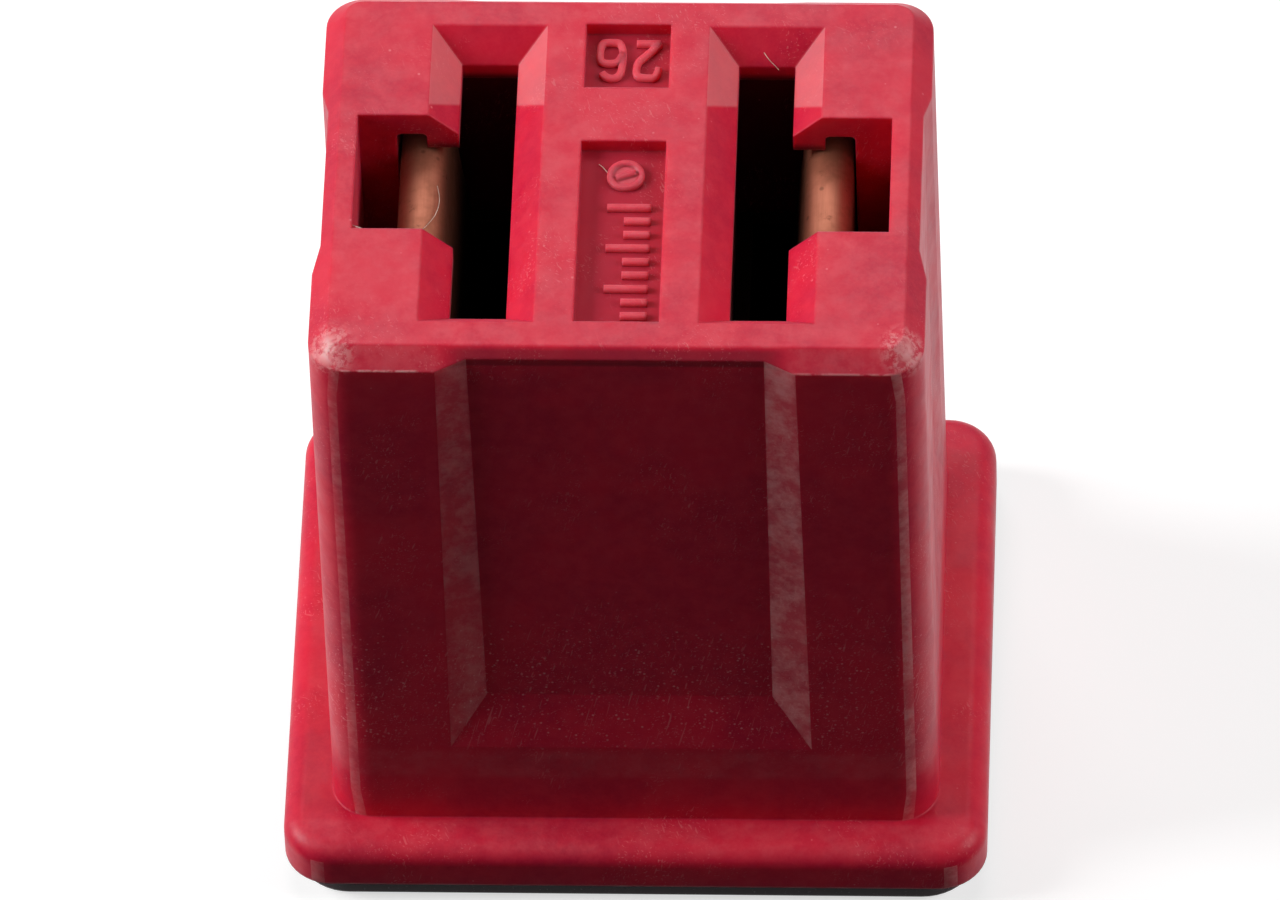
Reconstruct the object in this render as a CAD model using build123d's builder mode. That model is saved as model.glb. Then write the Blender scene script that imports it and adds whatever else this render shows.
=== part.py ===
"""Low-profile cartridge fuse with two female blade terminals.

A moulded housing stands on its clear cover with the terminal mouths up. X runs
along the long side, -Y is the front, +Z points to the mouths, and the origin is
the middle of the cover's flat outer face. Sizes are in millimetres.
"""
from build123d import *
import os

# ---- collar at the foot of the housing
collar_side_ledge = 1.05
collar_front_ledge = 0.99
collar_t = 1.1
collar_corner_r = 1.05
collar_edge_r = 0.45

# ---- body that rises from the collar
side_wall = 0.88         # beside the probe notches, at the collar
front_wall = 1.59        # before and behind the chambers, at the collar
body_h = 15.2
body_corner_r = 0.88
body_draft = 0.3         # degrees, narrowing towards the mouths
mouth_chamfer = 0.41

# ---- shallow tapered panels on the four sides, open at the mouth end
wide_panel_depth = 0.2
wide_panel_inner_w = 6.2     # floor, at the mouth
wide_panel_outer_w = 7.5     # slopes included, at the mouth
narrow_panel_depth = 0.155
narrow_panel_inner_w = 3.7
narrow_panel_outer_w = 5.0
panel_inner_flare = -0.12    # what the floor's width gains down to its foot
panel_outer_flare = 0.2      # what the outer width gains down to the sill
panel_inner_drop = 11.25     # from the mouth face to the foot of the panel floor
panel_outer_drop = 12.8      # from the mouth face to the foot of the sloped sill
panel_overrun = 1.0          # cutter runs this far past the mouth face

# ---- blades that the fuse takes
blade_w = 6.3
blade_t = 0.8
slot_pitch = 5.85
slot_side_clearance = 0.195
slot_end_clearance = 0.35

# ---- mouth face: slots with sloped lead-ins, probe notches, rib pockets
face_t = 1.04
lead_in_depth = 0.62
lead_in_side = 0.62
lead_in_end = 0.59
notch_w = 3.13
notch_pocket_w = 0.79        # from the chamber to the outer wall of the notch
notch_depth = 6.0
rib_pocket_w = 1.79
rib_pocket_depth = 0.33
upper_pocket_back = 4.13
upper_pocket_front = 2.37
lower_pocket_back = 0.89
lower_pocket_front = -4.06

# ---- terminal strip
strip_t = 0.32
fold_outer_r = 0.505
fold_drop = 1.10             # from the mouth face to the crown of the fold
fold_reach = 0.95            # from the blade's outer face to the middle of the fold
side_gap = 0.05              # terminal to chamber wall
box_end_gap = 0.07           # blade edge to the box's end walls
contact_bite = 0.06          # spring stands this far into the blade's place
box_top_drop = 5.4
box_foot_rise = 3.3          # above the collar's top face
spring_contact_drop = 6.6
spring_tip_drop = 9.2
spring_tip_kick = 0.35
spring_trim = 0.25           # spring is narrower than the box at each end
seam_gap = 0.12
leg_lap = 1.0                # outer leg and tail run this far along the box walls

# ---- chambers and head cavity
chamber_end_gap = 0.08
rib_web = 1.0
rib_core_drop = 2.1
head_side_margin = 0.37      # head cavity beyond the chambers
head_front_margin = 0.38
head_cavity_h = 3.6          # from the collar's foot
groove_rise = 0.43           # clears the fold above the chamber ceiling
groove_corner_r = 0.12
groove_w = 0.64

# ---- fusible link and its tin pellet
link_w = 2.2
link_neck_w = 0.9
link_shoulder_l = 0.865      # from the middle of a tail's strip to the neck
link_drop = 2.2              # below the foot of the terminal boxes
link_bend_r = 0.6
link_hole_r = 0.2
link_hole_inset = 0.4        # from the neck's end
pellet_w = 1.3
pellet_l = 1.2
pellet_t = 1.1
pellet_edge_r = 0.2

# ---- clear cover
cover_t = 0.6
cover_inset = 0.2
cover_corner_r = 1.2
cover_edge_r = 0.12
plug_h = 1.5
plug_wall = 0.8
plug_gap = 0.05
plug_corner_r = 0.5
snap_l = 4.0
snap_h = 0.4
snap_proud = 0.12
snap_rise = 0.8              # from the cover's plate to the middle of the snap rib
snap_clearance = 0.04

# ---- levels
collar_foot = cover_t
collar_top = collar_foot + collar_t
mouth = collar_top + body_h
ceiling = mouth - face_t
head_ceiling = collar_foot + head_cavity_h
box_foot = collar_top + box_foot_rise
box_top = mouth - box_top_drop

# ---- places that follow from the sizes above
slot_w = blade_t + 2 * slot_side_clearance
slot_l = blade_w + 2 * slot_end_clearance
slot_x = slot_pitch / 2
plate_face = slot_x - blade_t / 2                   # contact plate's face to the blade
plate_back = plate_face - strip_t
fold_x = plate_face + blade_t + fold_reach          # middle of the fold
outer_leg_x = fold_x + fold_outer_r                 # outer face of the outer leg
chamber_in = plate_back - side_gap
chamber_out = outer_leg_x + side_gap
box_in_l = blade_w + 2 * box_end_gap
box_out_l = box_in_l + 2 * strip_t
chamber_l = box_out_l + 2 * chamber_end_gap
notch_reach = chamber_out + notch_pocket_w
tail_x = plate_back + strip_t / 2
link_neck_l = 2 * (tail_x - link_shoulder_l)

body_w = 2 * (notch_reach + side_wall)
body_d = chamber_l + 2 * front_wall
collar_w = body_w + 2 * collar_side_ledge
collar_d = body_d + 2 * collar_front_ledge
head_cavity_w = 2 * (chamber_out + head_side_margin)
head_cavity_d = chamber_l + 2 * head_front_margin


def side_plane(turn, reach):
    """Plane on one drafted side of the body, its y up the side from the collar."""
    upright = Plane(origin=(0, -reach, collar_top), x_dir=(1, 0, 0), z_dir=(0, -1, 0))
    leaning = upright.rotated((-body_draft, 0, 0))
    return Plane(Location((0, 0, 0), (0, 0, turn)) * leaning.location)


def panel_outline(mouth_w, foot_w, drop):
    """Corners of a panel outline that runs on in line past the mouth face."""
    foot = body_h - drop
    rim = body_h + panel_overrun
    rim_w = mouth_w + (mouth_w - foot_w) * panel_overrun / drop
    return [(-foot_w / 2, foot), (foot_w / 2, foot), (rim_w / 2, rim), (-rim_w / 2, rim)]


# ================= housing =================
with BuildPart() as housing:
    # collar
    with BuildSketch(Plane.XY.offset(collar_foot)):
        RectangleRounded(collar_w, collar_d, collar_corner_r)
    extrude(amount=collar_t)
    fillet(housing.edges().group_by(Axis.Z)[-1], collar_edge_r)

    # drafted body
    with BuildSketch(Plane.XY.offset(collar_top)):
        RectangleRounded(body_w, body_d, body_corner_r)
    extrude(amount=body_h, taper=body_draft)
    chamfer(housing.faces().sort_by(Axis.Z)[-1].edges(), mouth_chamfer)

    # side panels: each slope runs on past the drafted side, so its edge is clean
    for turn, reach, depth, inner_w, outer_w in (
        (0, body_d / 2, wide_panel_depth, wide_panel_inner_w, wide_panel_outer_w),
        (90, body_w / 2, narrow_panel_depth, narrow_panel_inner_w, narrow_panel_outer_w),
        (180, body_d / 2, wide_panel_depth, wide_panel_inner_w, wide_panel_outer_w),
        (270, body_w / 2, narrow_panel_depth, narrow_panel_inner_w, narrow_panel_outer_w),
    ):
        side = side_plane(turn, reach)
        inner_foot_w = inner_w + panel_inner_flare
        outer_foot_w = outer_w + panel_outer_flare
        floor = panel_outline(inner_w, inner_foot_w, panel_inner_drop)
        flared = panel_outline(2 * outer_w - inner_w, 2 * outer_foot_w - inner_foot_w,
                               2 * panel_outer_drop - panel_inner_drop)
        with BuildSketch(side.offset(-depth)):
            Polygon(*floor, align=None)
        with BuildSketch(side.offset(depth)):
            Polygon(*flared, align=None)
        loft(mode=Mode.SUBTRACT)

    # terminal chambers, up to the inside of the mouth face
    chamber_mid = (chamber_in + chamber_out) / 2
    with BuildSketch(Plane.XY.offset(head_ceiling)):
        with Locations((-chamber_mid, 0), (chamber_mid, 0)):
            Rectangle(chamber_out - chamber_in, chamber_l)
    extrude(amount=ceiling - head_ceiling, mode=Mode.SUBTRACT)

    # groove over the fold of each terminal
    with BuildSketch(Plane.XZ.offset(-chamber_l / 2)):
        for hand in (-1, 1):
            with Locations((hand * (chamber_out - groove_w / 2), ceiling)):
                RectangleRounded(groove_w, 2 * groove_rise, groove_corner_r)
    extrude(amount=chamber_l, mode=Mode.SUBTRACT)

    # blade slots through the mouth face
    with BuildSketch(Plane.XY.offset(mouth)):
        with Locations((-slot_x, 0), (slot_x, 0)):
            Rectangle(slot_w, slot_l)
    extrude(amount=-face_t, mode=Mode.SUBTRACT)

    # sloped lead-ins on all four sides of each slot
    for hand in (-1, 1):
        with BuildSketch(Plane.XY.offset(mouth - lead_in_depth)):
            with Locations((hand * slot_x, 0)):
                Rectangle(slot_w, slot_l)
        with BuildSketch(Plane.XY.offset(mouth)):
            with Locations((hand * slot_x, 0)):
                Rectangle(slot_w + 2 * lead_in_side, slot_l + 2 * lead_in_end)
        loft(mode=Mode.SUBTRACT)

    # probe notches beside the slots, and their deep pockets in the side wall
    notch_mid = (slot_x + notch_reach) / 2
    pocket_mid = (chamber_out + notch_reach) / 2
    with BuildSketch(Plane.XY.offset(mouth)):
        with Locations((-notch_mid, 0), (notch_mid, 0)):
            Rectangle(notch_reach - slot_x, notch_w)
    extrude(amount=-face_t, mode=Mode.SUBTRACT)
    with BuildSketch(Plane.XY.offset(mouth)):
        with Locations((-pocket_mid, 0), (pocket_mid, 0)):
            Rectangle(notch_reach - chamber_out, notch_w)
    extrude(amount=-notch_depth, mode=Mode.SUBTRACT)

    # marking pockets on the rib between the slots
    with BuildSketch(Plane.XY.offset(mouth)):
        for back, front in ((upper_pocket_back, upper_pocket_front),
                            (lower_pocket_back, lower_pocket_front)):
            with Locations((0, (back + front) / 2)):
                Rectangle(rib_pocket_w, back - front)
    extrude(amount=-rib_pocket_depth, mode=Mode.SUBTRACT)

    # head cavity under the cover, and the core that lightens the rib
    with BuildSketch(Plane.XY.offset(collar_foot)):
        RectangleRounded(head_cavity_w, head_cavity_d, plug_corner_r + plug_gap)
    extrude(amount=head_cavity_h, mode=Mode.SUBTRACT)
    with BuildSketch(Plane.XY.offset(head_ceiling)):
        Rectangle(2 * (chamber_in - rib_web), chamber_l)
    extrude(amount=mouth - rib_core_drop - head_ceiling, mode=Mode.SUBTRACT)

    # grooves that the cover's snap ribs spring into
    with BuildSketch(Plane.XY.offset(cover_t + snap_rise - snap_h / 2 - snap_clearance)):
        for hand in (-1, 1):
            with Locations((0, hand * head_cavity_d / 2)):
                Rectangle(snap_l + 2 * snap_clearance, 2 * (snap_proud + snap_clearance))
    extrude(amount=snap_h + 2 * snap_clearance, mode=Mode.SUBTRACT)
housing.part.label = "housing"

# ================= fuse element: one stamped and folded strip =================
with BuildPart() as fuse_element:
    box_mid = (plate_back + outer_leg_x) / 2
    leg_x = outer_leg_x - strip_t / 2
    for hand in (-1, 1):
        # box section round each blade, open along a seam at its front outer corner
        with BuildSketch(Plane.XY.offset(box_foot)):
            with Locations((hand * box_mid, 0)):
                Rectangle(outer_leg_x - plate_back, box_out_l)
                Rectangle(outer_leg_x - plate_back - 2 * strip_t, box_in_l, mode=Mode.SUBTRACT)
            with Locations((hand * (leg_x - strip_t / 2 - seam_gap / 2), -(box_in_l + strip_t) / 2)):
                Rectangle(seam_gap, 2 * strip_t, mode=Mode.SUBTRACT)
        extrude(amount=box_top - box_foot)

        # outer leg, fold at the mouth, and spring tongue back down beside the blade
        fold_mid_r = fold_outer_r - strip_t / 2
        fold_level = mouth - fold_drop - fold_outer_r
        contact_x = plate_face + blade_t - contact_bite + strip_t / 2
        with BuildSketch(Plane.XZ):
            with BuildLine():
                Line((hand * leg_x, box_top - leg_lap), (hand * leg_x, fold_level))
                ThreePointArc((hand * leg_x, fold_level),
                              (hand * fold_x, fold_level + fold_mid_r),
                              (hand * (fold_x - fold_mid_r), fold_level))
                Line((hand * (fold_x - fold_mid_r), fold_level),
                     (hand * contact_x, mouth - spring_contact_drop))
                Line((hand * contact_x, mouth - spring_contact_drop),
                     (hand * (contact_x + spring_tip_kick), mouth - spring_tip_drop))
            trace(line_width=strip_t)
        extrude(amount=box_in_l / 2 - spring_trim, both=True)

        # tail of the contact plate, bent in under the rib towards the link
        with BuildSketch(Plane.XZ):
            with BuildLine():
                FilletPolyline((hand * tail_x, box_foot + leg_lap),
                               (hand * tail_x, box_foot - link_drop),
                               (hand * link_neck_l / 2, box_foot - link_drop), radius=link_bend_r)
            trace(line_width=strip_t)
        extrude(amount=link_w / 2, both=True)

    # neck of the link with its two heat holes
    with BuildSketch(Plane.XY.offset(box_foot - link_drop - strip_t / 2)):
        Rectangle(link_neck_l, link_neck_w)
        hole_x = link_neck_l / 2 - link_hole_inset
        with Locations((-hole_x, 0), (hole_x, 0)):
            Circle(link_hole_r, mode=Mode.SUBTRACT)
    extrude(amount=strip_t)
fuse_element.part.label = "fuse_element"

# ================= tin pellet crimped round the neck =================
with BuildPart() as tin_pellet:
    with BuildSketch(Plane.YZ.offset(-pellet_l / 2)):
        with Locations((0, box_foot - link_drop)):
            RectangleRounded(pellet_w, pellet_t, pellet_edge_r)
            Rectangle(link_neck_w, strip_t, mode=Mode.SUBTRACT)
    extrude(amount=pellet_l)
tin_pellet.part.label = "tin_pellet"

# ================= clear cover =================
with BuildPart() as cover:
    with BuildSketch(Plane.XY):
        RectangleRounded(collar_w - 2 * cover_inset, collar_d - 2 * cover_inset, cover_corner_r)
    extrude(amount=cover_t)
    fillet(cover.edges().group_by(Axis.Z)[0], cover_edge_r)
    plug_w = head_cavity_w - 2 * plug_gap
    plug_d = head_cavity_d - 2 * plug_gap
    with BuildSketch(Plane.XY.offset(cover_t)):
        RectangleRounded(plug_w, plug_d, plug_corner_r)
        Rectangle(plug_w - 2 * plug_wall, plug_d - 2 * plug_wall, mode=Mode.SUBTRACT)
    extrude(amount=plug_h)
    with BuildSketch(Plane.XY.offset(cover_t + snap_rise - snap_h / 2)):
        for hand in (-1, 1):
            with Locations((0, hand * (plug_d - plug_wall) / 2)):
                Rectangle(snap_l, plug_wall)
            with Locations((0, hand * plug_d / 2)):
                Rectangle(snap_l, 2 * snap_proud)
    extrude(amount=snap_h)
cover.part.label = "cover"

os.makedirs("parts", exist_ok=True)
export_step(housing.part, "parts/housing.step")
export_step(fuse_element.part, "parts/fuse_element.step")
export_step(tin_pellet.part, "parts/tin_pellet.step")
export_step(cover.part, "parts/cover.step")
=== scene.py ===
"""Looks of a low-profile cartridge fuse with two female blade terminals.

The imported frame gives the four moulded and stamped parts. This file dresses
them in moulded nylon, clear cover plastic, rolled copper alloy and tin, adds
the raised mould marks in the rib's pockets and a few lint fibres, and sets a
small table-top studio round them. Everything is in metres, in the frame's own
axes: X from terminal to terminal, -Y to the front, +Z to the mouths.
"""
import logging
import math
from dataclasses import dataclass, replace
from enum import Enum
from typing import Iterable, Sequence

import bmesh
import bpy
from mathutils import Matrix, Vector


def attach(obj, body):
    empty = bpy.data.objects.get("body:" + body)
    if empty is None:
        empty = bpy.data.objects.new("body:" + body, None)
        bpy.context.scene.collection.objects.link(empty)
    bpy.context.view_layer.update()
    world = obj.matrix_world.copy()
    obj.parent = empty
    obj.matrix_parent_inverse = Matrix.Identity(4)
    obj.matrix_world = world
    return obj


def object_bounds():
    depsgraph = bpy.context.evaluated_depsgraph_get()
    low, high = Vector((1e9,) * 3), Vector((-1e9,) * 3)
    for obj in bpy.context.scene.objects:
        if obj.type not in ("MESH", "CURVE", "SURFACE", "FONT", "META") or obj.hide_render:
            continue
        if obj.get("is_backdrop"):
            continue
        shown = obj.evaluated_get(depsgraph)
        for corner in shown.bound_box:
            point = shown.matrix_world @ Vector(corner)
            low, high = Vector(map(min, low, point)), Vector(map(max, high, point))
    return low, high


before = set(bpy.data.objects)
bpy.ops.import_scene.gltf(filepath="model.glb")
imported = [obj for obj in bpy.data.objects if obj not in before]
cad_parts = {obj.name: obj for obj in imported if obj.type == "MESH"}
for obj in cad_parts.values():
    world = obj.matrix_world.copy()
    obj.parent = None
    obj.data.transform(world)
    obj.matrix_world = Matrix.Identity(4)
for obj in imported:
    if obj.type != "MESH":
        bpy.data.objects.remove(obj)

logging.basicConfig(level=logging.INFO, format="%(name)s: %(message)s")
LOG = logging.getLogger("fuse")

MM = 0.001
POCKET_DEPTH = 0.33    # of the marking pockets below the mouth face, mm
MOUTH_INSET_X = 1.13   # from the collar's edge to the body's at the mouth, mm
MOUTH_INSET_Y = 1.07
Colour = tuple[float, float, float]


class Part(Enum):
    """The frame's own nodes."""

    HOUSING = "housing"
    COVER = "cover"
    ELEMENT = "fuse_element"
    PELLET = "tin_pellet"


class FinishSlot(Enum):
    """The record's material slots."""

    NYLON = "housing_nylon"
    COVER = "cover_clear"
    COPPER = "element_copper_alloy"
    TIN = "pellet_tin"


class Axis(Enum):
    """Directions along which a streak or scratch runs."""

    X = 0
    Y = 1
    Z = 2


class Graph:
    """A small builder for one material's nodes; lengths inside it are millimetres."""

    def __init__(self, name: str) -> None:
        """Starts an empty material.

        Args:
            name: the material's name.
        """
        self.material = bpy.data.materials.new(name)
        self.material.use_nodes = True
        self.tree = self.material.node_tree
        self.tree.nodes.clear()
        self._place: bpy.types.NodeSocket | None = None

    def node(self, kind: str, **props: object) -> bpy.types.Node:
        """Adds a node.

        Args:
            kind: the node's type name.
            props: attributes to set on it.

        Returns:
            The new node.
        """
        made = self.tree.nodes.new(kind)
        for key, value in props.items():
            setattr(made, key, value)
        return made

    def feed(self, socket: bpy.types.NodeSocket, value: object) -> None:
        """Links a socket to another one, or sets its constant.

        Args:
            socket: the input to fill.
            value: an output socket, a number or a tuple.
        """
        if isinstance(value, bpy.types.NodeSocket):
            self.tree.links.new(value, socket)
        else:
            socket.default_value = value

    @property
    def place(self) -> bpy.types.NodeSocket:
        """Object coordinates in millimetres.

        Returns:
            The coordinates, made once and shared.
        """
        if self._place is None:
            coords = self.node("ShaderNodeTexCoord")
            scale = self.node("ShaderNodeVectorMath", operation="SCALE")
            self.feed(scale.inputs[0], coords.outputs["Object"])
            scale.inputs["Scale"].default_value = 1 / MM
            self._place = scale.outputs[0]
        return self._place

    def warped(self, stretch: Sequence[float],
               turn: Sequence[float] = (0, 0, 0)) -> bpy.types.NodeSocket:
        """Millimetre coordinates turned and stretched.

        Args:
            stretch: factor along each axis; a large one packs detail along it.
            turn: rotation in degrees about each axis, before stretching.

        Returns:
            The new coordinates.
        """
        turned = self.node("ShaderNodeMapping")
        turned.inputs["Rotation"].default_value = [math.radians(a) for a in turn]
        self.feed(turned.inputs["Vector"], self.place)
        scaled = self.node("ShaderNodeMapping")
        scaled.inputs["Scale"].default_value = stretch
        self.feed(scaled.inputs["Vector"], turned.outputs[0])
        return scaled.outputs[0]

    def maths(self, operation: str, a: object, b: object = 0.0,
              clamp: bool = False) -> bpy.types.NodeSocket:
        """One sum of two numbers.

        Args:
            operation: the Math node's operation.
            a: first number or socket.
            b: second number or socket.
            clamp: whether the result is held between 0 and 1.

        Returns:
            The result.
        """
        made = self.node("ShaderNodeMath", operation=operation, use_clamp=clamp)
        self.feed(made.inputs[0], a)
        self.feed(made.inputs[1], b)
        return made.outputs[0]

    def times(self, *values: object) -> bpy.types.NodeSocket:
        """The product of several masks.

        Args:
            values: the masks, or plain factors.

        Returns:
            The product.
        """
        total = values[0]
        for value in values[1:]:
            total = self.maths("MULTIPLY", total, value)
        return total

    def noise(self, scale: float, detail: float = 2.0, rough: float = 0.5,
              place: bpy.types.NodeSocket | None = None, distortion: float = 0.0) -> bpy.types.NodeSocket:
        """Cloudy noise between 0 and 1.

        Args:
            scale: how many clouds a millimetre holds.
            detail: octaves.
            rough: weight of the finer octaves.
            place: coordinates, or the plain ones.
            distortion: how far the clouds are swirled.

        Returns:
            The noise factor.
        """
        made = self.node("ShaderNodeTexNoise")
        self.feed(made.inputs["Vector"], place or self.place)
        made.inputs["Scale"].default_value = scale
        made.inputs["Detail"].default_value = detail
        made.inputs["Roughness"].default_value = rough
        made.inputs["Distortion"].default_value = distortion
        return made.outputs["Fac"]

    def ramp(self, value: object, low: float, high: float) -> bpy.types.NodeSocket:
        """Maps low..high to 0..1 with smooth ends, or 1..0 where low is the larger.

        Args:
            value: what is mapped.
            low: the value that gives 0.
            high: the value that gives 1.

        Returns:
            The mask.
        """
        made = self.node("ShaderNodeMapRange", interpolation_type="SMOOTHSTEP")
        flip = low > high
        self.feed(made.inputs["Value"], value)
        made.inputs["From Min"].default_value = min(low, high)
        made.inputs["From Max"].default_value = max(low, high)
        made.inputs["To Min"].default_value = 1.0 if flip else 0.0
        made.inputs["To Max"].default_value = 0.0 if flip else 1.0
        return made.outputs["Result"]

    def between(self, value: object, low: float, high: float, soft: float) -> bpy.types.NodeSocket:
        """A mask that is 1 from low to high, with soft ends."""
        return self.times(self.ramp(value, low - soft, low + soft),
                          self.ramp(value, high + soft, high - soft))

    def axes(self) -> list[bpy.types.NodeSocket]:
        """X, Y and Z in millimetres.

        Returns:
            The three coordinates.
        """
        split = self.node("ShaderNodeSeparateXYZ")
        self.feed(split.inputs[0], self.place)
        return [split.outputs[i] for i in range(3)]

    def facing(self) -> list[bpy.types.NodeSocket]:
        """The flat face's own direction along X, Y and Z.

        Returns:
            The three shares of the direction.
        """
        geometry = self.node("ShaderNodeNewGeometry")
        split = self.node("ShaderNodeSeparateXYZ")
        self.feed(split.inputs[0], geometry.outputs["True Normal"])
        return [split.outputs[i] for i in range(3)]

    def near(self, point: Sequence[float], inner: float, outer: float) -> bpy.types.NodeSocket:
        """A mask that is 1 near a point and fades out.

        Args:
            point: its place in millimetres.
            inner: radius of full strength.
            outer: radius where it has faded.

        Returns:
            The mask.
        """
        made = self.node("ShaderNodeVectorMath", operation="DISTANCE")
        self.feed(made.inputs[0], self.place)
        made.inputs[1].default_value = tuple(point)
        return self.ramp(made.outputs["Value"], outer, inner)

    def specks(self, per_mm: float, radius: float, share: float,
               place: bpy.types.NodeSocket | None = None) -> bpy.types.NodeSocket:
        """Scattered round specks.

        Args:
            per_mm: cells a millimetre.
            radius: speck radius as a share of a cell.
            share: share of the cells that hold a speck.
            place: coordinates, or the plain ones.

        Returns:
            The mask.
        """
        cells = self.node("ShaderNodeTexVoronoi", feature="F1")
        self.feed(cells.inputs["Vector"], place or self.place)
        cells.inputs["Scale"].default_value = per_mm
        dot = self.ramp(cells.outputs["Distance"], radius, radius * 0.35)
        pick = self.node("ShaderNodeSeparateColor")
        self.feed(pick.inputs[0], cells.outputs["Color"])
        return self.times(dot, self.ramp(pick.outputs[0], 1 - share, 1 - share + 0.02))

    def mix(self, factor: object, a: object, b: object) -> bpy.types.NodeSocket:
        """A colour between two.

        Args:
            factor: 0 for the first and 1 for the second.
            a: first colour.
            b: second colour.

        Returns:
            The mixed colour.
        """
        made = self.node("ShaderNodeMix", data_type="RGBA")
        self.feed(made.inputs["Factor"], factor)
        self.feed(made.inputs["A"], a if isinstance(a, bpy.types.NodeSocket) else (*a, 1.0))
        self.feed(made.inputs["B"], b if isinstance(b, bpy.types.NodeSocket) else (*b, 1.0))
        return made.outputs["Result"]

    def edges(self, radius: float) -> tuple[bpy.types.NodeSocket, bpy.types.NodeSocket]:
        """Softly rounded edges.

        Args:
            radius: the edge radius in millimetres.

        Returns:
            The rounded normal, and a mask that is 1 on the edges.
        """
        bevel = self.node("ShaderNodeBevel", samples=8)
        bevel.inputs["Radius"].default_value = radius * MM
        geometry = self.node("ShaderNodeNewGeometry")
        dot = self.node("ShaderNodeVectorMath", operation="DOT_PRODUCT")
        self.feed(dot.inputs[0], bevel.outputs[0])
        self.feed(dot.inputs[1], geometry.outputs["Normal"])
        return bevel.outputs[0], self.ramp(dot.outputs["Value"], 0.995, 0.82)

    def blend(self, factor: object, a: object, b: object) -> bpy.types.NodeSocket:
        """A direction between two.

        Args:
            factor: 0 for the first and 1 for the second.
            a: first direction.
            b: second direction.

        Returns:
            The mixed direction.
        """
        made = self.node("ShaderNodeMix", data_type="VECTOR")
        self.feed(made.inputs["Factor"], factor)
        self.feed(made.inputs[4], a)
        self.feed(made.inputs[5], b)
        return made.outputs[1]

    def bump(self, height: object, depth: float, normal: object = None,
             strength: float = 1.0) -> bpy.types.NodeSocket:
        """A bumped normal.

        Args:
            height: the relief between 0 and 1.
            depth: its real depth in millimetres.
            normal: the normal it starts from.
            strength: share of the bump that shows.

        Returns:
            The normal.
        """
        made = self.node("ShaderNodeBump")
        made.inputs["Strength"].default_value = strength
        made.inputs["Distance"].default_value = depth * MM
        self.feed(made.inputs["Height"], height)
        if normal is not None:
            self.feed(made.inputs["Normal"], normal)
        return made.outputs[0]

    def surface(self, **sockets: object) -> bpy.types.Material:
        """Ends the material with one principled shader.

        Args:
            sockets: its inputs, with underscores for the spaces in their names.

        Returns:
            The finished material.
        """
        shader = self.node("ShaderNodeBsdfPrincipled")
        for key, value in sockets.items():
            self.feed(shader.inputs[key.replace("_", " ")], value)
        output = self.node("ShaderNodeOutputMaterial")
        self.feed(output.inputs["Surface"], shader.outputs[0])
        return self.material


# ---------------------------------------------------------------- finishes


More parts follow.
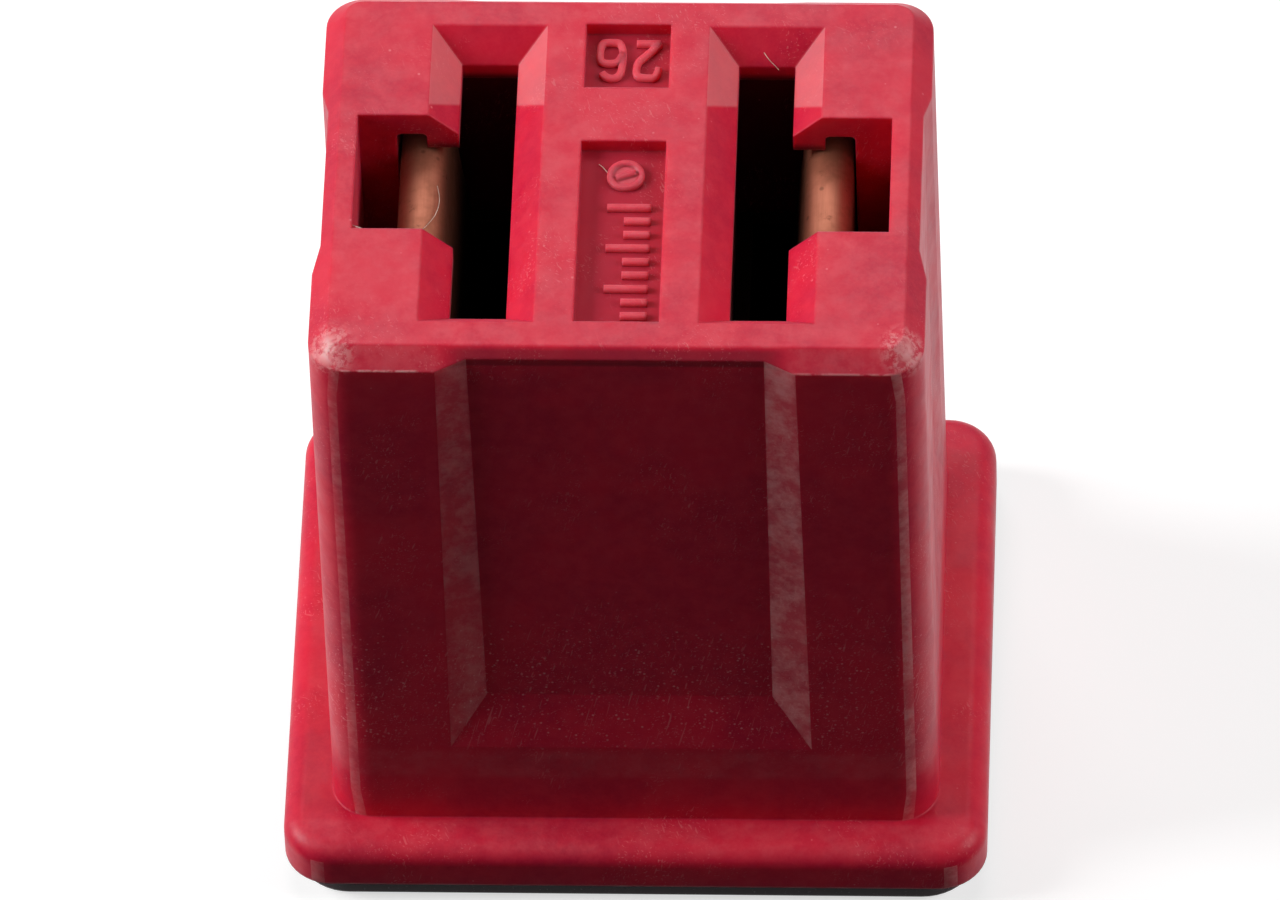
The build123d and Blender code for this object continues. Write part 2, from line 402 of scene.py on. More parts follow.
@dataclass(frozen=True)
class MouldedNylon:
    """Red satin nylon with flow mottle, fine scratches, dust and rubbed corners, plus painted sheen,
    highlights and shade.
    """

    mouth: float
    half_width: float
    half_depth: float
    name: str = "moulded_nylon_red"
    pocket_half_width: float = 0.9
    deep: Colour = (0.46, 0.003, 0.034)
    main: Colour = (0.60, 0.006, 0.036)
    pale: Colour = (0.68, 0.035, 0.065)
    # pale colour for the scratches, and for the painted sheen and painted highlight
    wear_and_sheen: Colour = (0.86, 0.42, 0.42)
    # pale colour for the scuffs and the painted highlight at the front corners
    bared_and_gleam: Colour = (0.90, 0.55, 0.54)
    dust: Colour = (0.80, 0.36, 0.38)
    # painted shade: darker colour for the pocket floors
    pocket_shade: Colour = (0.40, 0.014, 0.034)
    # painted shade: near-black colour for the slot throats and the chamfer over the front panel
    shade_dark: Colour = (0.05, 0.002, 0.006)
    specular: float = 0.18
    bloom: float = 0.3
    translucency: float = 0.42
    glow: Colour = (0.9, 0.06, 0.10)
    edge_radius: float = 0.09
    corner_radius: float = 0.45
    corner_margin: float = 1.35
    collar_top: float = 1.7
    chamfer: float = 0.41
    sill: tuple[float, float] = (4.1, 6.4)
    slot_x: float = 2.925
    lead_in: float = 1.23
    # where the painted highlight on the slots' sloped sides begins, and how it leans
    highlight_from: float = 1.87
    highlight_slant: float = 0.83
    panel_half_width: float = 3.75
    panel_floor_half_width: float = 3.1
    throat_half_length: float = 3.9
    throat_reach: tuple[float, float] = (0.9, 1.8)
    front_lip: tuple[float, float] = (-3.2, -3.4)
    left_rub: tuple[float, float] = (-6.0, -3.9)
    right_rub: tuple[float, float] = (3.7, 6.0)
    # places of the corner scuffs, which also carry a painted highlight
    left_scuff_gleam: tuple[float, float, float] = (0.47, 0.40, 0.20)
    right_scuff_gleam: tuple[float, float, float] = (0.39, 0.50, 0.20)

    def flow(self, g: Graph) -> bpy.types.NodeSocket:
        """The plastic's own colour, clouded by the way it flowed.

        Args:
            g: the material's graph.

        Returns:
            The colour.
        """
        broad = g.ramp(g.noise(0.33, 3.0, 0.55, distortion=0.4), 0.35, 0.68)
        fine = g.ramp(g.noise(2.6, 4.0, 0.65), 0.34, 0.70)
        grain = g.ramp(g.noise(16.0, 2.0, 0.6), 0.30, 0.72)
        tone = g.mix(broad, self.deep, self.main)
        tone = g.mix(g.maths("MULTIPLY", fine, 0.35), tone, self.pale)
        return g.mix(g.maths("MULTIPLY", grain, 0.16), tone, self.pale)

    def scratches(self, g: Graph) -> bpy.types.NodeSocket:
        """Hairline scratches in three directions, gathered in patches.

        Args:
            g: the material's graph.

        Returns:
            The mask.
        """
        _, y, z = g.axes()
        foot = g.times(g.ramp(y, -self.half_depth + 0.9, -self.half_depth + 0.4),
                       g.between(z, self.sill[0], self.sill[1] + 1.2, 0.8))
        where = g.maths("MAXIMUM", g.ramp(g.noise(0.55, 2.0, 0.6), 0.48, 0.66), foot)
        lines = None
        for stretch, turn in (((1.0, 26.0, 22.0), (24, 8, 31)), ((24.0, 1.3, 20.0), (-13, 5, -22)),
                              ((22.0, 22.0, 1.1), (9, -14, 12))):
            one = g.ramp(g.noise(1.0, 1.0, 0.4, g.warped(stretch, turn)), 0.675, 0.730)
            lines = one if lines is None else g.maths("MAXIMUM", lines, one)
        return g.times(where, lines)

    def dusting(self, g: Graph) -> bpy.types.NodeSocket:
        """Dust grains: a thin scatter all over and a thicker one at the foot of the front.

        Args:
            g: the material's graph.

        Returns:
            The mask.
        """
        _, y, z = g.axes()
        low_front = g.times(g.ramp(y, -self.half_depth + 0.9, -self.half_depth + 0.4),
                            g.between(z, self.sill[0], self.sill[1] + 1.6, 0.8))
        patch = g.ramp(g.noise(0.8, 2.0, 0.6), 0.36, 0.58)
        thin = g.specks(5.5, 0.16, 0.05)
        flecks = g.maths("MAXIMUM", g.specks(8.0, 0.30, 0.42), g.specks(4.6, 0.17, 0.30))
        thick = g.times(flecks, low_front, patch)
        top = g.times(g.specks(3.2, 0.13, 0.09), g.ramp(z, self.mouth - 0.5, self.mouth - 0.1))
        scatter = g.maths("MAXIMUM", g.maths("MULTIPLY", thin, 0.5), g.maths("MULTIPLY", top, 0.7))
        return g.maths("MAXIMUM", scatter, thick)

    def painted_light_haze(self, g: Graph) -> bpy.types.NodeSocket:
        """Painted sheen: a thin cloudy whitening on the mouth face, the front chamfer of the posts, the panel
        slopes (more on the right), the foot band and the ledge.

        Args:
            g: the material's graph.

        Returns:
            The mask.
        """
        x, y, z = g.axes()
        lean = g.facing()
        clouds = g.ramp(g.noise(1.7, 4.0, 0.72), 0.36, 0.68)
        clouds = g.maths("ADD", g.maths("MULTIPLY", clouds, 0.75), 0.25)
        face = g.maths("MULTIPLY", g.ramp(z, self.mouth - 0.03, self.mouth - 0.01), 0.08)
        front = g.ramp(y, -self.half_depth + 0.60, -self.half_depth + 0.35)
        posts = g.ramp(g.maths("ABSOLUTE", x), self.panel_half_width - 0.25, self.panel_half_width)
        chamfer = g.times(g.between(z, self.mouth - self.chamfer, self.mouth - 0.02, 0.02),
                          front, posts, 0.12)
        right_more = g.maths("ADD", g.maths("MULTIPLY", g.ramp(x, -1, 1), 0.22), 0.29)
        slopes = g.times(g.between(g.maths("ABSOLUTE", lean[0]), 0.18, 0.42, 0.03), front,
                         g.between(lean[2], -0.1, 0.1, 0.03), right_more)
        band = g.times(g.between(z, self.sill[0] - 1.0, self.sill[0] - 0.15, 0.12), front, 0.07)
        ledge = g.times(g.ramp(y, -self.half_depth - 0.10, -self.half_depth - 0.25),
                        g.ramp(z, self.collar_top - 0.25, self.collar_top - 0.05), 0.08)
        parts = g.maths("MAXIMUM", g.maths("MAXIMUM", face, chamfer), g.maths("MAXIMUM", slopes, band))
        parts = g.maths("MAXIMUM", parts, ledge)
        return g.times(parts, clouds)

    def rounding(self, g: Graph, fine: bpy.types.NodeSocket) -> bpy.types.NodeSocket:
        """Widely rounded upright corners, and front slot lips that roll over to the mouth face.

        Args:
            g: the material's graph.
            fine: the direction with every edge finely rounded.

        Returns:
            The direction.
        """
        x, y, z = g.axes()
        wide, _ = g.edges(self.corner_radius)
        margin = self.corner_margin
        side, end = self.half_width - margin, self.half_depth - margin
        corner = g.times(g.ramp(g.maths("ABSOLUTE", x), side, side + 0.3),
                         g.ramp(g.maths("ABSOLUTE", y), end, end + 0.3),
                         g.ramp(z, self.mouth - 0.55, self.mouth - 0.85),
                         g.ramp(z, self.collar_top + 0.35, self.collar_top + 0.7))
        lip = g.times(g.ramp(g.facing()[1], 0.5, 0.6), g.ramp(z, self.mouth - 0.66, self.mouth - 0.62),
                      g.ramp(y, *self.front_lip))
        return g.blend(lip, g.blend(corner, fine, wide), (0.0, 0.0, 1.0))

    def painted_shade(self, g: Graph) -> bpy.types.NodeSocket:
        """Painted shade: near black deep in the throats of the slots, and a darker tone on the chamfer over
        the front panel.

        Args:
            g: the material's graph.

        Returns:
            The mask.
        """
        x, y, z = g.axes()
        inner, outer = self.throat_reach
        throat_shade = g.times(g.between(g.maths("ABSOLUTE", x), self.slot_x - inner, self.slot_x + outer, 0.02),
                         g.between(y, -self.throat_half_length, self.throat_half_length, 0.02),
                         g.ramp(z, self.mouth - 0.80, self.mouth - 1.06))
        middle = g.ramp(g.maths("ABSOLUTE", x), self.panel_half_width, self.panel_floor_half_width)
        chamfer_shade = g.times(g.between(z, self.mouth - self.chamfer, self.mouth - 0.05, 0.05), middle,
                      g.ramp(y, -self.half_depth + 0.46, -self.half_depth + 0.36), 0.55)
        return g.maths("MAXIMUM", throat_shade, chamfer_shade)

    def scuffs_and_gleam(self, g: Graph) -> bpy.types.NodeSocket:
        """Whitened front corners, partly real scuffing and partly a painted highlight with pale cores, and a
        broken rub line along the front chamfer.

        Args:
            g: the material's graph.

        Returns:
            The mask.
        """
        x, y, z = g.axes()
        crumbs = g.ramp(g.noise(5.5, 4.0, 0.75), 0.42, 0.60)
        in_x, in_y, drop = self.left_scuff_gleam
        left_at = (-self.half_width + in_x, -self.half_depth + in_y, self.mouth - drop)
        in_x, in_y, drop = self.right_scuff_gleam
        right_at = (self.half_width - in_x, -self.half_depth + in_y, self.mouth - drop)
        # pale cores at the front corners: partly a scuff, partly a painted highlight
        gleam_cores = g.maths("MAXIMUM", g.near(left_at, 0.05, 0.46),
                        g.maths("MULTIPLY", g.near(right_at, 0.0, 0.42), 0.7))
        gleam_cores = g.times(gleam_cores, g.ramp(g.noise(3.4, 3.0, 0.6, distortion=0.6), 0.34, 0.56))
        rings = g.maths("MAXIMUM", g.maths("MULTIPLY", g.near(left_at, 0.30, 0.70), 0.45),
                        g.maths("MULTIPLY", g.near(right_at, 0.25, 0.70), 0.5))
        corners = g.maths("MAXIMUM", gleam_cores, g.times(rings, crumbs))
        under = self.mouth - self.chamfer
        rim = g.times(g.between(z, under - 0.02, under + 0.025, 0.015),
                      g.ramp(y, -self.half_depth + 0.35, -self.half_depth + 0.12))
        posts = g.maths("MAXIMUM", g.between(x, *self.left_rub, 0.2),
                        g.maths("MULTIPLY", g.between(x, *self.right_rub, 0.2), 0.6))
        broken = g.ramp(g.noise(2.8, 3.0, 0.7), 0.38, 0.56)
        return g.maths("MAXIMUM", corners, g.times(rim, posts, broken, 0.6))

    def painted_highlight(self, g: Graph) -> bpy.types.NodeSocket:
        """A painted highlight: the paler rear stretch of the slots' sloped sides.

        Args:
            g: the material's graph.

        Returns:
            The mask.
        """
        x, y, z = g.axes()
        sideways = g.ramp(g.maths("ABSOLUTE", g.facing()[0]), 0.5, 0.6)
        slot = g.between(g.maths("ABSOLUTE", x), self.slot_x - self.lead_in, self.slot_x + self.lead_in, 0.02)
        level = g.maths("ADD", y, g.maths("MULTIPLY", g.maths("SUBTRACT", z, self.mouth), self.highlight_slant))
        rear = g.ramp(level, self.highlight_from - 0.05, self.highlight_from + 0.05)
        return g.times(sideways, slot, rear, g.ramp(z, self.mouth - 0.64, self.mouth - 0.60))

    def make(self) -> bpy.types.Material:
        """Builds the finish.

        Returns:
            The nylon material.
        """
        g = Graph(self.name)
        x, _, z = g.axes()
        rounded, edge = g.edges(self.edge_radius)
        scratches, dust, scuffs_and_gleam = self.scratches(g), self.dusting(g), self.scuffs_and_gleam(g)
        pocket_floor = self.mouth - POCKET_DEPTH
        # pocket floor band: it gets a painted shade in its colour and a rougher finish
        shaded_pocket_floor = g.times(g.between(z, pocket_floor - 0.015, pocket_floor + 0.015, 0.008),
                           g.between(x, -self.pocket_half_width, self.pocket_half_width, 0.02))
        rubbed = g.times(edge, g.ramp(g.noise(1.9, 3.0, 0.65), 0.44, 0.66))
        colour = self.flow(g)
        colour = g.mix(g.maths("MULTIPLY", shaded_pocket_floor, 0.85), colour, self.pocket_shade)
        # painted shade in the slot throats and on the chamfer over the front panel
        colour = g.mix(g.maths("MULTIPLY", self.painted_shade(g), 0.92), colour, self.shade_dark)
        # painted sheen on the mouth face, chamfer posts, panel slopes, foot band and ledge
        colour = g.mix(self.painted_light_haze(g), colour, self.wear_and_sheen)
        # painted highlight on the rear stretch of the slots' sloped sides
        colour = g.mix(g.maths("MULTIPLY", self.painted_highlight(g), 0.26), colour, self.wear_and_sheen)
        colour = g.mix(g.maths("MULTIPLY", rubbed, 0.26), colour, self.pale)
        colour = g.mix(g.maths("MULTIPLY", scratches, 0.20), colour, self.wear_and_sheen)
        colour = g.mix(g.maths("MULTIPLY", dust, 0.55), colour, self.dust)
        # scuffed front corners with a painted highlight, and the rub line along the chamfer
        colour = g.mix(g.maths("MULTIPLY", scuffs_and_gleam, 0.85), colour, self.bared_and_gleam)
        gloss = g.ramp(g.noise(1.4, 3.0, 0.6), 0.30, 0.72)
        rough = g.maths("ADD", g.maths("MULTIPLY", gloss, 0.12), 0.36)
        rough = g.maths("ADD", rough, g.maths("MULTIPLY", shaded_pocket_floor, 0.26))
        rough = g.maths("ADD", rough, g.maths("MULTIPLY", g.maths("MAXIMUM", scuffs_and_gleam, dust), 0.25), clamp=True)
        relief = g.bump(g.noise(0.9, 2.0, 0.5), 0.012, self.rounding(g, rounded))
        relief = g.bump(g.noise(24.0, 3.0, 0.65), 0.0022, relief, 0.8)
        relief = g.bump(scratches, 0.003, relief, 0.7)
        relief = g.bump(scuffs_and_gleam, 0.012, relief, 0.8)
        return g.surface(Base_Color=colour, Roughness=rough, Normal=relief, IOR=1.53,
                         Specular_IOR_Level=self.specular, Sheen_Weight=self.bloom, Sheen_Roughness=0.3,
                         Sheen_Tint=(1.0, 0.38, 0.42, 1.0),
                         Subsurface_Weight=self.translucency,
                         Subsurface_Radius=self.glow, Subsurface_Scale=MM)


@dataclass(frozen=True)
class ClearCover:
    """Clear polycarbonate with a dark smoky colour that is painted shade, faint haze and handling marks."""

    # painted shade: dark smoky colours that stand for the shade under the collar
    shade_tint: Colour = (0.045, 0.012, 0.022)
    painted_light_haze: Colour = (0.075, 0.024, 0.040)

    def make(self) -> bpy.types.Material:
        """Builds the finish.

        Returns:
            The cover material.
        """
        g = Graph("clear_cover_plastic")
        cloud = g.ramp(g.noise(0.7, 3.0, 0.6), 0.35, 0.70)
        marks = g.ramp(g.noise(1.0, 1.0, 0.4, g.warped((1.0, 22.0, 22.0), (0, 0, 37))), 0.69, 0.74)
        rounded, _ = g.edges(0.05)
        rough = g.maths("ADD", g.maths("MULTIPLY", cloud, 0.10), 0.16)
        rough = g.maths("ADD", rough, g.maths("MULTIPLY", marks, 0.2), clamp=True)
        # the clouded colour is painted shade on a clear plastic
        return g.surface(Base_Color=g.mix(cloud, self.shade_tint, self.painted_light_haze), Roughness=rough,
                         Normal=g.bump(g.noise(0.6, 2.0, 0.5), 0.008, rounded),
                         IOR=1.58, Specular_IOR_Level=0.06, Transmission_Weight=0.2)


@dataclass(frozen=True)
class RolledCopper:
    """Rolled copper alloy strip: fine lines, brown tarnish, small stains, and painted shade that turns it
    near black deep inside.
    """

    mouth: float
    bright: Colour = (0.38, 0.142, 0.090)
    brown: Colour = (0.22, 0.080, 0.045)
    stain: Colour = (0.085, 0.034, 0.020)
    # painted shade: near black for the copper deep inside the slots
    deep_shade: Colour = (0.006, 0.003, 0.002)
    grain: Axis = Axis.Y

    def make(self) -> bpy.types.Material:
        """Builds the finish.

        Returns:
            The copper alloy material.
        """
        g = Graph("rolled_copper_alloy")
        stretch = [30.0, 30.0, 30.0]
        stretch[self.grain.value] = 0.8
        lines = g.noise(1.0, 3.0, 0.7, g.warped(stretch))
        tarnish = g.ramp(g.noise(0.9, 4.0, 0.65), 0.38, 0.66)
        blot = g.ramp(g.noise(2.1, 4.0, 0.7), 0.60, 0.72)
        spot = g.specks(2.6, 0.20, 0.30)
        colour = g.mix(g.maths("MULTIPLY", tarnish, 0.65), self.bright, self.brown)
        colour = g.mix(g.maths("MULTIPLY", g.ramp(lines, 0.35, 0.70), 0.22), colour, self.brown)
        colour = g.mix(g.maths("MULTIPLY", g.maths("MAXIMUM", blot, spot), 0.55), colour, self.stain)
        # painted shade: fades to near black from 2 to 4.2 mm below the mouth
        colour = g.mix(g.ramp(g.axes()[2], self.mouth - 2.0, self.mouth - 4.2), colour, self.deep_shade)
        rough = g.maths("ADD", g.maths("MULTIPLY", tarnish, 0.12), 0.54)
        rough = g.maths("ADD", rough, g.maths("MULTIPLY", blot, 0.15), clamp=True)
        return g.surface(Base_Color=colour, Metallic=1.0, Roughness=rough,
                         Normal=g.bump(lines, 0.0025, strength=0.6))


@dataclass(frozen=True)
class PressedTin:
    """Dull pressed tin with a faint oxide bloom and tool marks."""

    clean: Colour = (0.70, 0.69, 0.67)
    oxide: Colour = (0.42, 0.42, 0.42)

    def make(self) -> bpy.types.Material:
        """Builds the finish.

        Returns:
            The tin material.
        """
        g = Graph("pressed_tin")
        bloom = g.ramp(g.noise(2.4, 4.0, 0.65), 0.36, 0.66)
        dents = g.noise(3.2, 2.0, 0.5)
        return g.surface(Base_Color=g.mix(bloom, self.clean, self.oxide), Metallic=1.0,
                         Roughness=g.maths("ADD", g.maths("MULTIPLY", bloom, 0.2), 0.34),
                         Normal=g.bump(dents, 0.02, strength=0.5))


@dataclass(frozen=True)
class Lint:
    """Pale textile fibre, lighter and darker along its length."""

    light: Colour = (0.74, 0.62, 0.52)
    dark: Colour = (0.42, 0.32, 0.27)

    def make(self) -> bpy.types.Material:
        """Builds the finish.

        Returns:
            The fibre material.
        """
        g = Graph("lint_fibre")
        along = g.ramp(g.noise(3.0, 2.0, 0.6), 0.35, 0.65)
        return g.surface(Base_Color=g.mix(along, self.light, self.dark), Roughness=0.7)


@dataclass(frozen=True)
class PaleFloor:
    """A white table with soft shadows and little bounce, whose mirror image fades before the object."""

    front: float
    shown: float = 0.50
    bounced: float = 0.05
    lift: float = 0.62
    fade: tuple[float, float] = (-0.4, 0.15)

    def make(self) -> bpy.types.Material:
        """Builds the finish.

        Returns:
            The floor material.
        """
        g = Graph("pale_floor")
        before, behind = self.fade
        seen = background_mask(g, g.ramp(g.axes()[1], self.front + before, self.front + behind))
        level = g.maths("ADD", g.maths("MULTIPLY", seen, self.shown - self.bounced), self.bounced)
        paper = g.maths("ADD", g.maths("MULTIPLY", g.noise(0.05, 2.0, 0.5), 0.01), level)
        tone = g.node("ShaderNodeCombineColor")
        for channel in range(3):
            g.feed(tone.inputs[channel], paper)
        return g.surface(Base_Color=tone.outputs[0], Roughness=0.9, Specular_IOR_Level=0.0,
                         Emission_Color=(1, 1, 1, 1), Emission_Strength=g.maths("MULTIPLY", seen, self.lift))


def background_mask(g: Graph, mirrored: bpy.types.NodeSocket) -> bpy.types.NodeSocket:
    """A mask of the rays that show the background: straight, through glass or mirrored.

    Args:
        g: the material's graph.
        mirrored: how much of the background a mirrored ray shows.

    Returns:
        The mask.
    """
    path = g.node("ShaderNodeLightPath")
    seen = g.maths("MAXIMUM", path.outputs["Is Camera Ray"],
                   g.maths("MULTIPLY", path.outputs["Is Glossy Ray"], mirrored))
    return g.maths("MAXIMUM", seen, path.outputs["Is Transmission Ray"])


# ---------------------------------------------------------------- pieces


def place_piece(name: str, mesh: bpy.types.Mesh, material: bpy.types.Material) -> bpy.types.Object:
    """Puts a finished mesh on the part's body.

    Args:
        name: the piece's name.
        mesh: its mesh, in the frame's coordinates.
        material: its finish.

    Returns:
        The new object.
    """
    mesh.materials.clear()
    mesh.materials.append(material)
    piece = bpy.data.objects.new(name, mesh)
    bpy.context.scene.collection.objects.link(piece)
    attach(piece, "root")
    return piece


def stroke_mesh(name: str, strokes: Iterable[Sequence[Vector]], radius: float, order: int = 3,
                closed: bool = False) -> bpy.types.Mesh:
    """A round bead along smooth lines.

    Args:
        name: the mesh's name.
        strokes: control points of each line.
        radius: the bead's radius.
        order: 2 for straight runs, 3 or more for smooth ones.
        closed: whether each line closes on itself.

    Returns:
        The mesh.
    """
    curve = bpy.data.curves.new(name + "_line", "CURVE")
    curve.dimensions = "3D"
    curve.bevel_depth = radius
    curve.bevel_resolution = 3
    curve.resolution_u = 8
    curve.use_fill_caps = True
    for points in strokes:
        line = curve.splines.new("NURBS")
        line.points.add(len(points) - 1)
        for point, place in zip(line.points, points):
            point.co = (*place, 1.0)
        line.use_cyclic_u = closed
        line.order_u = min(order, len(points))
        line.use_endpoint_u = not closed
    holder = bpy.data.objects.new(name + "_line", curve)
    bpy.context.scene.collection.objects.link(holder)
    bpy.context.view_layer.update()
    mesh = bpy.data.meshes.new_from_object(holder.evaluated_get(bpy.context.evaluated_depsgraph_get()))
    mesh.name = name
    bpy.data.objects.remove(holder)
    bpy.data.curves.remove(curve)
    for polygon in mesh.polygons:
        polygon.use_smooth = True
    return mesh


def flatten(mesh: bpy.types.Mesh, floor: float, height: float, radius: float) -> None:
    """Presses beads into low marks that stand on a floor.

    Args:
        mesh: the beads, their lines at the floor's level.
        floor: the floor's level.
        height: how far the marks stand proud.
        radius: the beads' radius.
    """
    for vertex in mesh.vertices:
        share = (vertex.co.z - floor) / radius
        vertex.co.z = floor + height * (1 - (1 - share) ** 3 if share > 0 else share)


@dataclass
class Numeral:
    """One plain raised numeral, as smooth lines in a box one unit wide and high."""

    strokes: Sequence[Sequence[tuple[float, float]]]

    def lines(self, middle: Vector, width: float, height: float) -> list[list[Vector]]:
        """The numeral's lines, turned to be read from the back.

        Args:
            middle: middle of the numeral.
            width: its width.
            height: its height.

        Returns:
            Control points of each line.
        """
        return [[middle - Vector(((u - 0.5) * width, (v - 0.5) * height, 0)) for u, v in stroke]
                for stroke in self.strokes]


TWO = Numeral((((0.04, 0.74), (0.10, 1.04), (0.52, 1.04), (0.98, 1.0), (0.98, 0.60), (0.60, 0.38),
                (0.0, 0.0)),
               ((0.0, 0.0), (0.5, 0.0), (1.0, 0.0))))
SIX = Numeral((((0.86, 0.90), (0.62, 1.08), (0.10, 1.02), (0.0, 0.60), (0.0, 0.22), (0.12, -0.02),
                (0.5, -0.03), (0.92, -0.02), (1.0, 0.26), (0.94, 0.58), (0.5, 0.62), (0.14, 0.56),
                (0.01, 0.30)),))


@dataclass
class MouldMarks:
    """Raised marks on the floors of the two pockets in the rib between the slots."""

    floor: float
    height: float = 0.11 * MM
    bead: float = 0.085 * MM
    numeral_width: float = 0.50 * MM
    numeral_height: float = 0.92 * MM
    numeral_pitch: float = 0.78 * MM
    numerals_at: tuple[float, float] = (0.03 * MM, 3.36 * MM)
    dial_at: tuple[float, float] = (0.06 * MM, 0.16 * MM)
    dial_radius: float = 0.36 * MM
    tick_from: float = -0.72 * MM
    tick_pitch: float = 0.37 * MM
    tick_lengths: tuple[float, ...] = (0.92, 0.56, 0.56, 0.92, 0.56, 0.56, 0.92, 0.56, 0.56)
    tick_right: float = 0.62 * MM

    def numerals(self) -> bpy.types.Mesh:
        """Builds the plain two-figure cavity number.

        Returns:
            The mesh.
        """
        x, y = self.numerals_at
        lines: list[list[Vector]] = []
        for sign, numeral in ((1, TWO), (-1, SIX)):
            middle = Vector((x + sign * self.numeral_pitch / 2, y, self.floor))
            lines += numeral.lines(middle, self.numeral_width, self.numeral_height)
        mesh = stroke_mesh("cavity_numerals", lines, self.bead)
        flatten(mesh, self.floor, self.height, self.bead)
        return mesh

    def dial(self) -> bpy.types.Mesh:
        """Builds the round date dial: a low disc with a raised rim and a plain pointer.

        Returns:
            The mesh.
        """
        x, y = self.dial_at
        middle = Vector((x, y, self.floor))
        rim = [middle + Vector((math.cos(a), math.sin(a), 0)) * self.dial_radius
               for a in (math.tau * i / 10 for i in range(10))]
        ring = stroke_mesh("dial_rim", [rim], self.bead * 0.8, order=4, closed=True)
        flatten(ring, self.floor, self.height, self.bead * 0.8)
        reach = self.dial_radius * 0.55
        hand = stroke_mesh("dial_hand", [[middle - Vector((reach, reach * 0.4, 0)), middle,
                                          middle + Vector((reach, reach * 0.4, 0))]], self.bead * 0.9)
        flatten(hand, self.floor, self.height, self.bead * 0.9)
        work = bmesh.new()
        for mesh in (ring, hand):
            work.from_mesh(mesh)
            bpy.data.meshes.remove(mesh)
        disc = bmesh.ops.create_circle(work, cap_ends=True, cap_tris=False, segments=40,
                                       radius=self.dial_radius)["verts"]
        bmesh.ops.translate(work, verts=disc, vec=middle + Vector((0, 0, self.height * 0.45)))
        mesh = bpy.data.meshes.new("date_dial")
        work.to_mesh(mesh)
        work.free()
        for polygon in mesh.polygons:
            polygon.use_smooth = True
        return mesh

    def ticks(self) -> bpy.types.Mesh:
        """Builds the plain row of long and short scale ticks.

        Returns:
            The mesh.
        """
        lines = []
        for index, length in enumerate(self.tick_lengths):
            y = self.tick_from - index * self.tick_pitch
            lines.append([Vector((self.tick_right - share * length * MM, y, self.floor))
                          for share in (0.0, 0.5, 1.0)])
        mesh = stroke_mesh("scale_ticks", lines, self.bead)
        flatten(mesh, self.floor, self.height, self.bead)
        return mesh

    def build(self, material: bpy.types.Material) -> list[bpy.types.Object]:
        """Builds and places all the marks.

        Args:
            material: the raised marks' nylon.

        Returns:
            The pieces.
        """
        meshes = (self.numerals(), self.dial(), self.ticks())
        return [place_piece("mark_" + mesh.name, mesh, material) for mesh in meshes]


@dataclass
class LintFibres:
    """A few stray fibres at a notch, in a slot, by the dial and on a terminal's fold."""

    mouth: float
    thickness: float = 0.008 * MM
    routes: tuple[tuple[str, tuple[tuple[float, float, float], ...]], ...] = (
        ("on_left_fold", ((-3.95, 0.57, -1.13), (-3.87, 0.27, -1.13), (-3.91, -0.12, -1.12),
                          (-4.04, -0.45, -1.09), (-4.20, -0.67, -1.07))),
        ("at_left_notch", ((-5.60, -1.40, -0.10), (-5.53, -1.50, -0.03), (-5.41, -1.55, -0.02))),
        ("in_upper_right_slot", ((2.86, 3.56, -0.22), (2.97, 3.46, -0.36), (3.10, 3.38, -0.44),
                                 (3.17, 3.34, -0.52))),
        ("by_the_dial", ((-0.52, 0.50, -0.31), (-0.38, 0.36, -0.27), (-0.26, 0.12, -0.29))),
    )

    def build(self, material: bpy.types.Material) -> list[bpy.types.Object]:
        """Builds and places each fibre.

        Args:
            material: the fibres' finish.

        Returns:
            The pieces.
        """
        made = []
        for name, route in self.routes:
            points = [Vector((x * MM, y * MM, self.mouth + drop * MM)) for x, y, drop in route]
            mesh = stroke_mesh(name, [points], self.thickness)
            made.append(place_piece("fibre_" + name, mesh, material))
        return made


@dataclass
class FrameFinishes:
    """The frame's own four parts and the finish that each one wears."""

    finishes: dict[Part, bpy.types.Material]

    def dress(self) -> list[bpy.types.Object]:
        """Puts each finish into its part's material slots.

        Returns:
            The dressed parts.
        """
        dressed = []
        for part, material in self.finishes.items():
            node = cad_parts[part.value]
            if not node.material_slots:
                node.data.materials.append(material)
            for slot in node.material_slots:
                slot.material = material
            dressed.append(node)
        return dressed


# ---------------------------------------------------------------- studio


@dataclass
class Softbox:
    """A rectangular lamp that faces the object."""

    name: str
    azimuth: float
    elevation: float
    distance: float
    size: tuple[float, float]
    radiance: float

    def build(self, middle: Vector) -> bpy.types.Object:
        """Hangs the lamp.

        Args:
            middle: the point it faces.

        Returns:
            The lamp.
        """
        data = bpy.data.lights.new(self.name, "AREA")
        data.shape = "RECTANGLE"
        data.size, data.size_y = self.size
        data.energy = self.radiance * math.pi * self.size[0] * self.size[1]
        lamp = bpy.data.objects.new(self.name, data)
        a, e = math.radians(self.azimuth), math.radians(self.elevation)
        back = Vector((math.sin(a) * math.cos(e), -math.cos(a) * math.cos(e), math.sin(e)))
        lamp.location = middle + back * self.distance
        lamp.rotation_mode = "QUATERNION"
        lamp.rotation_quaternion = (-back).to_track_quat("-Z", "Y")
        lamp.visible_camera = False
        bpy.context.scene.collection.objects.link(lamp)
        return lamp


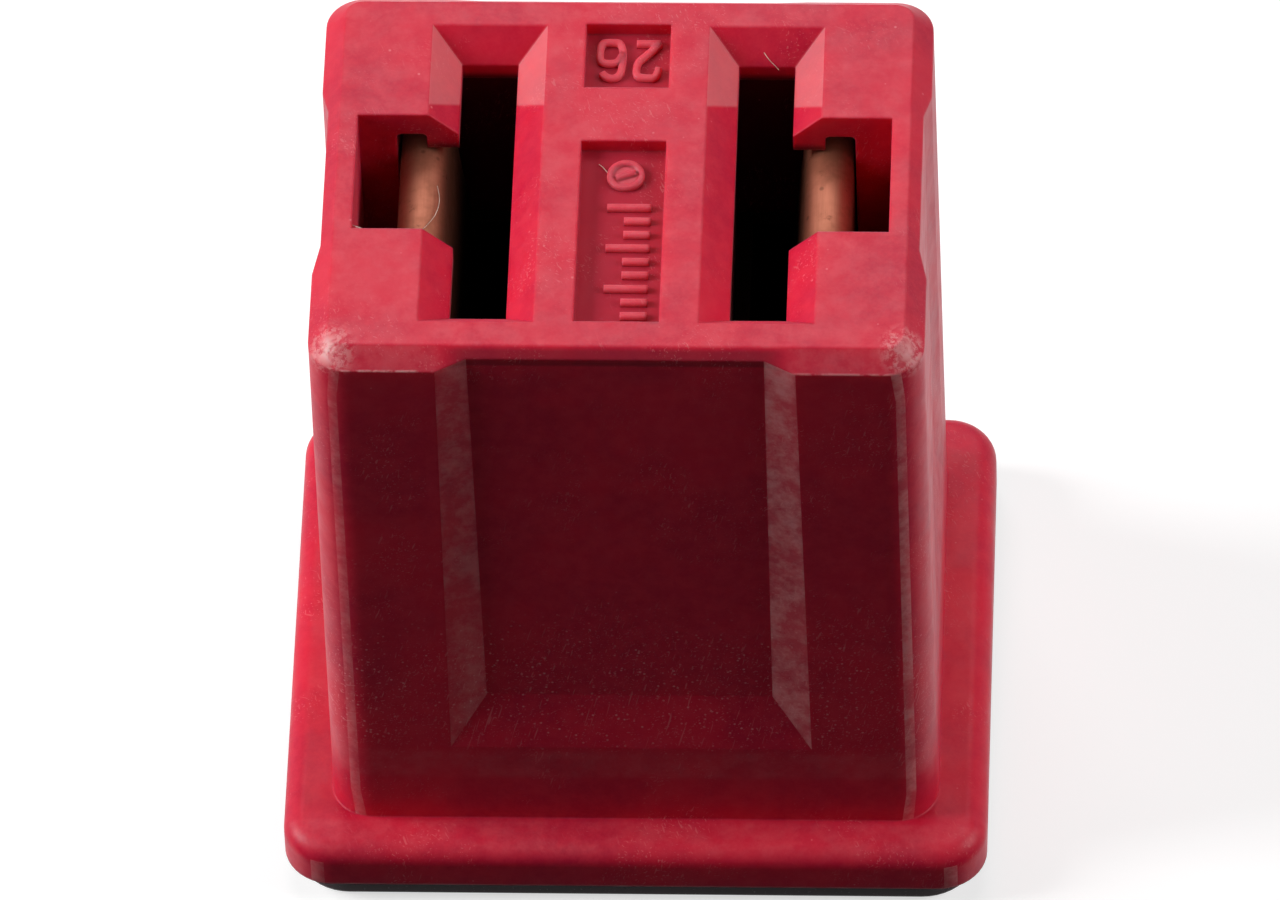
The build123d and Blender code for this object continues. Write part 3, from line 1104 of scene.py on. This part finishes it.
@dataclass
class StudioCamera:
    """A long lens above and in front of the object."""

    azimuth: float = 3.8187
    elevation: float = 50.3688
    roll: float = -2.493
    lens: float = 484.80
    sensor: float = 36.0
    distance: float = 367.62 * MM
    aim: tuple[float, float, float] = (0.137 * MM, -0.317 * MM, -0.269 * MM)

    def build(self, middle: Vector) -> bpy.types.Object:
        """Stands the camera.

        Args:
            middle: the middle of the object's box.

        Returns:
            The camera.
        """
        data = bpy.data.cameras.new("studio_camera")
        data.lens, data.sensor_width = self.lens, self.sensor
        data.clip_start, data.clip_end = 0.02, 20.0
        camera = bpy.data.objects.new("studio_camera", data)
        a, e, roll = (math.radians(v) for v in (self.azimuth, self.elevation, self.roll))
        back = Vector((math.sin(a) * math.cos(e), -math.cos(a) * math.cos(e), math.sin(e)))
        level = Vector((math.cos(a), math.sin(a), 0))
        up = back.cross(level)
        right = level * math.cos(roll) + up * math.sin(roll)
        up = up * math.cos(roll) - level * math.sin(roll)
        turn = Matrix((right, up, back)).transposed().to_4x4()
        camera.matrix_world = Matrix.Translation(middle + Vector(self.aim) + back * self.distance) @ turn
        bpy.context.scene.collection.objects.link(camera)
        bpy.context.scene.camera = camera
        return camera


@dataclass
class Studio:
    """Floor, backdrop, softboxes and camera."""

    ambient: float = 0.022
    floor_size: float = 3.0
    floor_gap: float = 0.01 * MM
    boxes: tuple[Softbox, ...] = (
        Softbox("side_left", -90, 30, 0.30, (0.14, 0.15), 15.8),
        Softbox("side_right", 88, 31, 0.30, (0.14, 0.15), 7.8),
        Softbox("sheen_back", 182, 52, 0.32, (0.22, 0.11), 3.9),
    )

    def floor(self, front: float) -> bpy.types.Object:
        """Lays the floor just under the cover.

        Args:
            front: the object's foremost Y.

        Returns:
            The floor.
        """
        work = bmesh.new()
        bmesh.ops.create_grid(work, x_segments=2, y_segments=2, size=self.floor_size / 2)
        mesh = bpy.data.meshes.new("floor")
        work.to_mesh(mesh)
        work.free()
        mesh.materials.append(PaleFloor(front=front / MM).make())
        floor = bpy.data.objects.new("floor", mesh)
        floor.location.z = -self.floor_gap
        bpy.context.scene.collection.objects.link(floor)
        floor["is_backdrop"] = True
        return floor

    def backdrop(self) -> bpy.types.World:
        """Sets a white backdrop that adds only a dim, even light.

        Returns:
            The world.
        """
        world = bpy.data.worlds.new("backdrop")
        world.use_nodes = True
        tree = world.node_tree
        tree.nodes.clear()
        path = tree.nodes.new("ShaderNodeLightPath")
        largest = None
        for name in ("Is Camera Ray", "Is Glossy Ray", "Is Transmission Ray"):
            if largest is None:
                largest = path.outputs[name]
                continue
            join = tree.nodes.new("ShaderNodeMath")
            join.operation = "MAXIMUM"
            tree.links.new(largest, join.inputs[0])
            tree.links.new(path.outputs[name], join.inputs[1])
            largest = join.outputs[0]
        strength = tree.nodes.new("ShaderNodeMapRange")
        strength.inputs["To Min"].default_value = self.ambient
        strength.inputs["To Max"].default_value = 1.0
        tree.links.new(largest, strength.inputs["Value"])
        light = tree.nodes.new("ShaderNodeBackground")
        light.inputs["Color"].default_value = (1, 1, 1, 1)
        tree.links.new(strength.outputs["Result"], light.inputs["Strength"])
        output = tree.nodes.new("ShaderNodeOutputWorld")
        tree.links.new(light.outputs[0], output.inputs["Surface"])
        bpy.context.scene.world = world
        return world

    def build(self, low: Vector, high: Vector) -> None:
        """Sets up the studio.

        Args:
            low: the object's lowest corner.
            high: the object's highest corner.
        """
        middle = (low + high) / 2
        self.floor(low.y)
        self.backdrop()
        for box in self.boxes:
            box.build(middle)
            LOG.info("lamp %s", box.name)
        StudioCamera().build(middle)
        bpy.context.scene.view_settings.view_transform = "Standard"


def main() -> None:
    """Dresses the frame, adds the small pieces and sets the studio."""
    low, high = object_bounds()
    mouth = high.z
    nylon = MouldedNylon(mouth=mouth / MM, half_width=high.x / MM - MOUTH_INSET_X,
                         half_depth=high.y / MM - MOUTH_INSET_Y)
    # painted light: a lighter, paler copy of the housing nylon for the raised marks, so they read as lit
    raised = replace(nylon, name="raised_nylon_red_painted_lighter", deep=(0.60, 0.03, 0.055), main=(0.72, 0.05, 0.08),
                     pale=(0.80, 0.12, 0.15))
    dressed = FrameFinishes({Part.HOUSING: nylon.make(), Part.COVER: ClearCover().make(),
                             Part.ELEMENT: RolledCopper(mouth=mouth / MM).make(),
                             Part.PELLET: PressedTin().make()}).dress()
    marks = MouldMarks(floor=mouth - POCKET_DEPTH * MM).build(raised.make())
    fibres = LintFibres(mouth=mouth).build(Lint().make())
    for piece in (*dressed, *marks, *fibres):
        LOG.info("piece %s, %d faces", piece.name, len(piece.data.polygons))
    Studio().build(low, high)
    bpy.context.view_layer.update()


if __name__ == "__main__":
    main()
